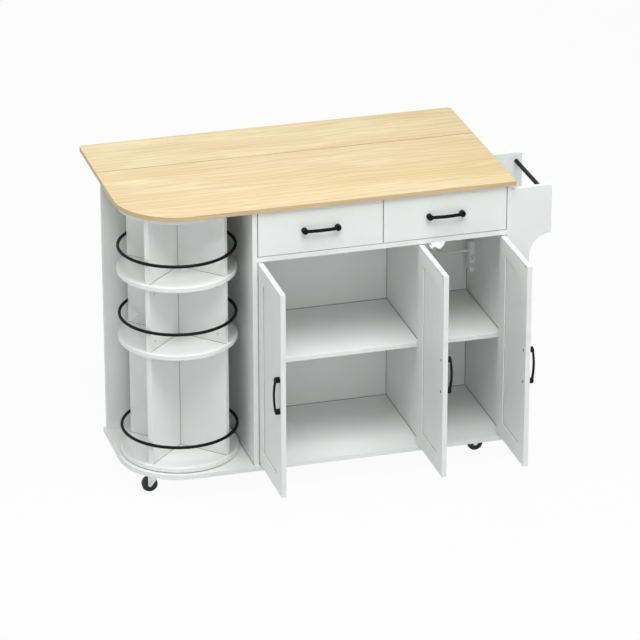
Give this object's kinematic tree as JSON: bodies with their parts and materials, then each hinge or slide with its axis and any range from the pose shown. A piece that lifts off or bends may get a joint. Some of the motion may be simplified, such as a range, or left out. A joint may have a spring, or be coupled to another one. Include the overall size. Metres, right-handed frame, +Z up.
{
  "type": "drop leaf kitchen island",
  "caption": "Rolling kitchen island with a hinged rear leaf, drawers over cupboards with sunk-panel doors, a turning shelf tower in its rounded end, a towel rail and an inner socket box.",
  "frame": {"origin": "middle of the open island's outline, on the floor", "axes": "+X along the worktop from the shelf tower to the towel rail, -Y out of the door side, +Z up"},
  "size_m": [1.3026, 0.8768, 0.914],
  "materials": {
    "painted_board": "satin white paint over fibreboard",
    "pale_wood": "clear satin lacquer over pale edge-glued timber",
    "black_steel": "satin black powder coat",
    "zinc_steel": "bright zinc",
    "white_plastic": "satin",
    "black_plastic": "matt"
  },
  "bodies": {
    "cabinet": {"worktop": "pale_wood", "bottom_panel": "painted_board", "left_wall": "painted_board", "right_wall": "painted_board", "divider": "painted_board", "back_panel": "painted_board", "end_back_board": "painted_board", "drawer_deck": "painted_board", "drawer_divider": "painted_board", "rear_rail": "painted_board", "shelf_left": "painted_board", "shelf_right": "painted_board", "shelf_pins": "zinc_steel", "leaf_hinges_fixed": "zinc_steel", "stay_rails": "zinc_steel", "towel_brackets": "painted_board", "towel_rod": "black_steel", "socket_box": "white_plastic", "lead_gland": "white_plastic", "power_lead": "white_plastic", "lead_coil": "white_plastic", "lead_tie": "black_plastic", "lead_plug": "white_plastic", "drawer_tracks": "zinc_steel", "door_pivots": "zinc_steel", "door_magnets": "white_plastic", "tower_spindles": "zinc_steel", "caster_plates": "zinc_steel"},
    "drop_leaf": {"drop_leaf": "pale_wood", "leaf_hinges_moving": "zinc_steel", "stay_arms": "zinc_steel"},
    "strut_left": {"strut_left": "zinc_steel"},
    "strut_right": {"strut_right": "zinc_steel"},
    "drawer_left": {"drawer_front_left": "painted_board", "drawer_box_left": "painted_board", "drawer_slides_left": "zinc_steel", "drawer_handle_left": "black_steel"},
    "drawer_right": {"drawer_front_right": "painted_board", "drawer_box_right": "painted_board", "drawer_slides_right": "zinc_steel", "drawer_handle_right": "black_steel"},
    "door_left": {"door_left": "painted_board", "door_handle_left": "black_steel"},
    "door_middle": {"door_middle": "painted_board", "door_handle_middle": "black_steel"},
    "door_right": {"door_right": "painted_board", "door_handle_right": "black_steel"},
    "shelf_tower": {"tower_shelves": "painted_board", "tower_top": "painted_board", "tower_fins": "painted_board", "guard_rings": "black_steel", "turntable_ring": "zinc_steel"},
    "caster_front_left": {"caster_fork_front_left": "zinc_steel"},
    "wheel_front_left": {"caster_wheel_front_left": "black_plastic"},
    "caster_front_right": {"caster_fork_front_right": "zinc_steel"},
    "wheel_front_right": {"caster_wheel_front_right": "black_plastic"},
    "caster_rear_left": {"caster_fork_rear_left": "zinc_steel"},
    "wheel_rear_left": {"caster_wheel_rear_left": "black_plastic"},
    "caster_rear_right": {"caster_fork_rear_right": "zinc_steel"},
    "wheel_rear_right": {"caster_wheel_rear_right": "black_plastic"}
  },
  "joints": [
    {"name": "leaf_hinge", "type": "hinge", "parent": "cabinet", "child": "drop_leaf", "pos_m": [-0.05825, 0.20813, 0.8955], "axis": [1, 0, 0], "range_deg": [-90, 0]},
    {"name": "strut_left_swing", "type": "hinge", "parent": "cabinet", "child": "strut_left", "pos_m": [-0.38325, 0.20413, 0.8275], "axis": [1, 0, 0], "range_deg": [-120.5, 0]},
    {"name": "strut_right_swing", "type": "hinge", "parent": "cabinet", "child": "strut_right", "pos_m": [0.26675, 0.20413, 0.8275], "axis": [1, 0, 0], "range_deg": [-120.5, 0]},
    {"name": "drawer_left_slide", "type": "slide", "parent": "cabinet", "child": "drawer_left", "axis": [0, -1, 0], "range_m": [0, 0.25]},
    {"name": "drawer_right_slide", "type": "slide", "parent": "cabinet", "child": "drawer_right", "axis": [0, -1, 0], "range_m": [0, 0.25]},
    {"name": "door_left_hinge", "type": "hinge", "parent": "cabinet", "child": "door_left", "pos_m": [-0.25375, -0.18962, 0.41075], "axis": [0, 0, 1], "range_deg": [-15, 90]},
    {"name": "door_middle_hinge", "type": "hinge", "parent": "cabinet", "child": "door_middle", "pos_m": [0.24678, -0.18962, 0.41075], "axis": [0, 0, 1], "range_deg": [-90, 15]},
    {"name": "door_right_hinge", "type": "hinge", "parent": "cabinet", "child": "door_right", "pos_m": [0.50325, -0.18962, 0.41075], "axis": [0, 0, 1], "range_deg": [-90, 15]},
    {"name": "tower_turn", "type": "hinge", "parent": "cabinet", "child": "shelf_tower", "pos_m": [-0.46125, -0.01462, 0.079], "axis": [0, 0, 1], "continuous": true},
    {"name": "caster_front_left_swivel", "type": "hinge", "parent": "cabinet", "child": "caster_front_left", "pos_m": [-0.56425, -0.11662, 0.052], "axis": [0, 0, 1], "continuous": true},
    {"name": "wheel_front_left_spin", "type": "hinge", "parent": "caster_front_left", "child": "wheel_front_left", "pos_m": [-0.58218, -0.11505, 0.024], "axis": [-0.0872, -0.9962, 0], "continuous": true},
    {"name": "caster_front_right_swivel", "type": "hinge", "parent": "cabinet", "child": "caster_front_right", "pos_m": [0.46475, -0.11662, 0.052], "axis": [0, 0, 1], "continuous": true},
    {"name": "wheel_front_right_spin", "type": "hinge", "parent": "caster_front_right", "child": "wheel_front_right", "pos_m": [0.44682, -0.11505, 0.024], "axis": [-0.0872, -0.9962, 0], "continuous": true},
    {"name": "caster_rear_left_swivel", "type": "hinge", "parent": "cabinet", "child": "caster_rear_left", "pos_m": [-0.56425, 0.12038, 0.052], "axis": [0, 0, 1], "continuous": true},
    {"name": "wheel_rear_left_spin", "type": "hinge", "parent": "caster_rear_left", "child": "wheel_rear_left", "pos_m": [-0.58218, 0.12195, 0.024], "axis": [-0.0872, -0.9962, 0], "continuous": true},
    {"name": "caster_rear_right_swivel", "type": "hinge", "parent": "cabinet", "child": "caster_rear_right", "pos_m": [0.46475, 0.12038, 0.052], "axis": [0, 0, 1], "continuous": true},
    {"name": "wheel_rear_right_spin", "type": "hinge", "parent": "caster_rear_right", "child": "wheel_rear_right", "pos_m": [0.44682, 0.12195, 0.024], "axis": [-0.0872, -0.9962, 0], "continuous": true}
  ],
  "couplings": [
    {"joint": "strut_left_swing", "follows": "leaf_hinge", "ratio": 1.3355},
    {"joint": "strut_right_swing", "follows": "leaf_hinge", "ratio": 1.3355}
  ]
}
